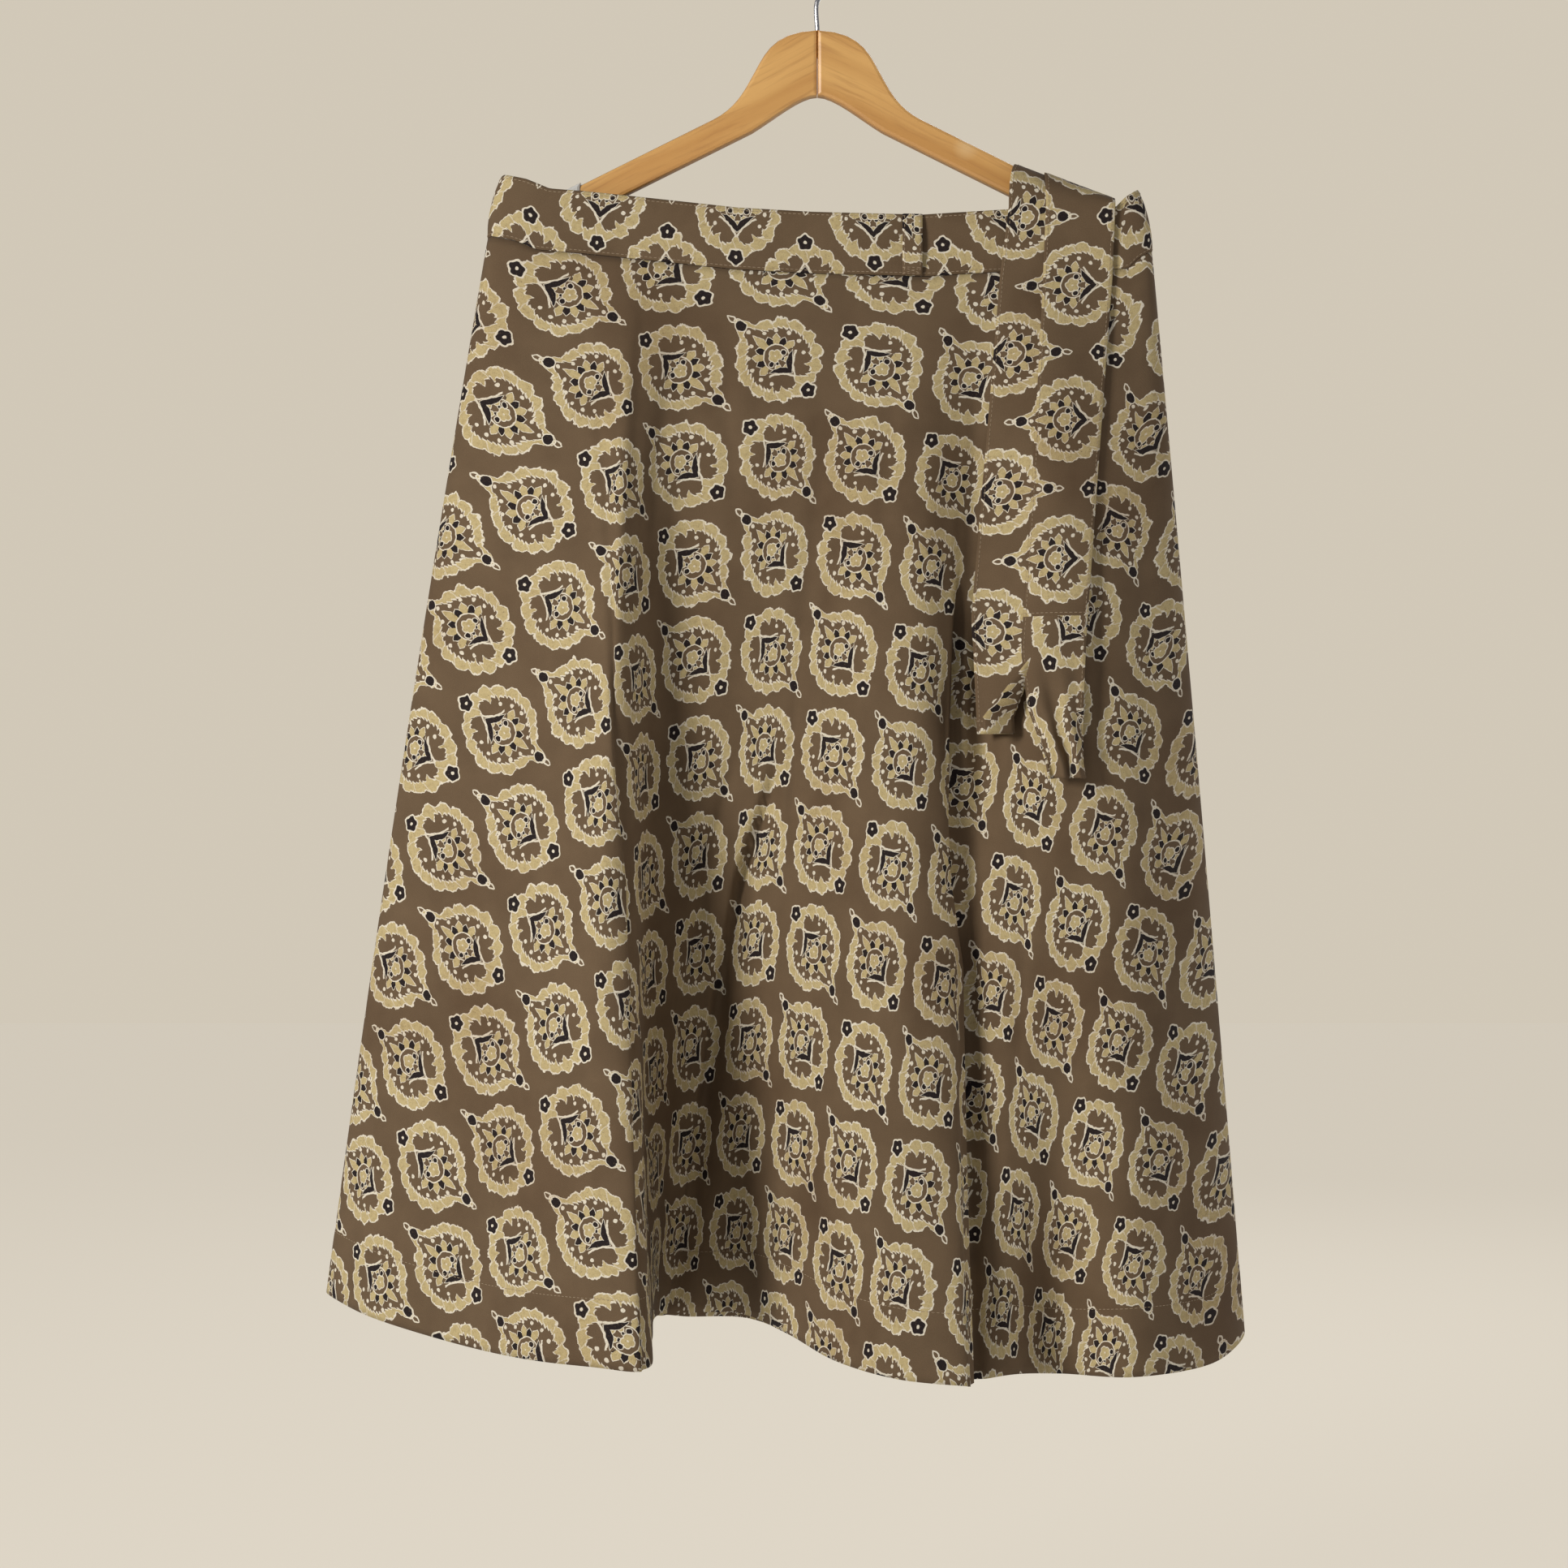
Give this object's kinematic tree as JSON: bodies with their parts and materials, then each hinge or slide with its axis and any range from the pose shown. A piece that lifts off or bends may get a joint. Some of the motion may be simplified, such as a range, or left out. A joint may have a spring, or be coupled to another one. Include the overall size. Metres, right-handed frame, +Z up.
{
  "type": "wrap skirt on a wooden hanger",
  "caption": "Flared cotton wrap skirt with a waistband, belt loop and hanging ties, folded flat over a wooden hanger with a wire hook.",
  "frame": {"origin": "inner top of the hanger's hook, where it rests on a rod", "axes": "+Z up, the front of the skirt towards -Y, +X to the right of someone looking at the front"},
  "size_m": [0.6546, 0.2197, 0.996],
  "materials": {
    "cloth": "matt plain-weave cotton with a block print",
    "band": "matt cotton, doubled and topstitched",
    "tie": "matt cotton strip, folded and topstitched",
    "wood": "clear satin varnish over light wood",
    "grip": "soft milky non-slip sleeve",
    "steel": "bright plated wire"
  },
  "bodies": {
    "root": {"front_panel": "cloth", "back_panel": "cloth", "underlap_panel": "cloth", "waistband_front": "band", "waistband_back": "band", "waistband_underlap": "band", "tie_under": "tie", "tie_over": "tie", "belt_loop": "band", "hanger_wood_right": "wood", "hanger_wood_left": "wood", "hanger_grip_right": "grip", "hanger_grip_left": "grip", "hanger_hook": "steel"}
  },
  "joints": []
}
